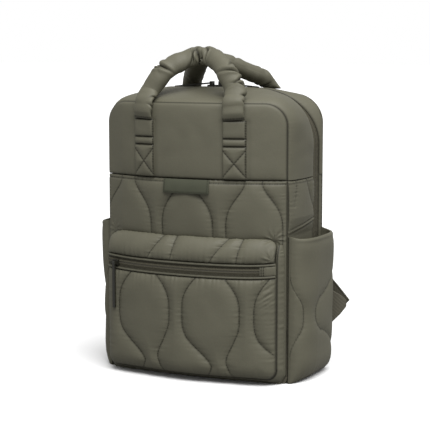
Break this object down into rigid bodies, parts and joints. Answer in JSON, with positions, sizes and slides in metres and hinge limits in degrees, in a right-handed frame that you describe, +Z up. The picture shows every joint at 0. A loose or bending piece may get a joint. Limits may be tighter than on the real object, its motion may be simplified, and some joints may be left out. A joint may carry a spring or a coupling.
{
  "type": "quilted backpack",
  "caption": "Upright padded backpack with quilted front and pockets, a clamshell zip over the top, carrying handles gathered together and padded straps behind.",
  "frame": {"origin": "middle of the flat base, on the ground, midway between the two side walls and between the side walls' front and back edges", "axes": "+Z up, -Y out of the quilted front, +X to the right of a viewer who faces the front"},
  "size_m": [0.3384, 0.22, 0.4537],
  "materials": {
    "shell_nylon": "padded matte nylon with a soft satin sheen",
    "backing_nylon": "matte padded cloth",
    "zip_tape": "woven tape",
    "zip_coil": "nylon coil",
    "label": "woven, bare",
    "painted_metal": "satin enamel",
    "webbing": "woven webbing",
    "buckle_resin": "moulded"
  },
  "bodies": {
    "bag": {"front_yoke": "shell_nylon", "front_quilted_panel": "shell_nylon", "top_gusset_front": "shell_nylon", "top_gusset_rear": "shell_nylon", "side_strip_front_left": "shell_nylon", "side_strip_front_right": "shell_nylon", "side_strip_rear_left": "shell_nylon", "side_strip_rear_right": "shell_nylon", "pocket_face": "shell_nylon", "pocket_shelf": "shell_nylon", "pocket_binding_lower": "shell_nylon", "pocket_binding_upper": "shell_nylon", "pocket_zip_end": "shell_nylon", "side_pocket_left": "shell_nylon", "side_pocket_right": "shell_nylon", "handle_front": "shell_nylon", "handle_rear": "shell_nylon", "handle_tab_left": "shell_nylon", "handle_tab_right": "shell_nylon", "strap_patch": "shell_nylon", "side_panel_left": "backing_nylon", "side_panel_right": "backing_nylon", "base_panel": "backing_nylon", "back_panel": "backing_nylon", "pocket_boxing": "backing_nylon", "shoulder_strap_left": "backing_nylon", "shoulder_strap_right": "backing_nylon", "main_zip_tape": "zip_tape", "pocket_zip_tape": "zip_tape", "main_zip_coil": "zip_coil", "pocket_zip_coil": "zip_coil", "label_patch": "label", "pocket_slider": "painted_metal", "slider_left": "painted_metal", "slider_right": "painted_metal", "webbing_left": "webbing", "webbing_right": "webbing", "strap_wing_left": "webbing", "strap_wing_right": "webbing", "buckle_left": "buckle_resin", "buckle_right": "buckle_resin"},
    "pocket_pull": {"pocket_pull": "painted_metal"},
    "pull_left": {"pull_left": "painted_metal"},
    "pull_right": {"pull_right": "painted_metal"}
  },
  "joints": [
    {"name": "pocket_pull_swing", "type": "hinge", "parent": "bag", "child": "pocket_pull", "pos_m": [-0.11542, -0.09499, 0.156], "axis": [-0.9634, 0.2681, 0], "range_deg": [0, 170]},
    {"name": "pull_left_swing", "type": "hinge", "parent": "bag", "child": "pull_left", "pos_m": [-0.00675, -0.0029, 0.40529], "axis": [0, 1, 0], "range_deg": [0, 18]},
    {"name": "pull_right_swing", "type": "hinge", "parent": "bag", "child": "pull_right", "pos_m": [0.00675, -0.0029, 0.40529], "axis": [0, -1, 0], "range_deg": [0, 18]}
  ]
}
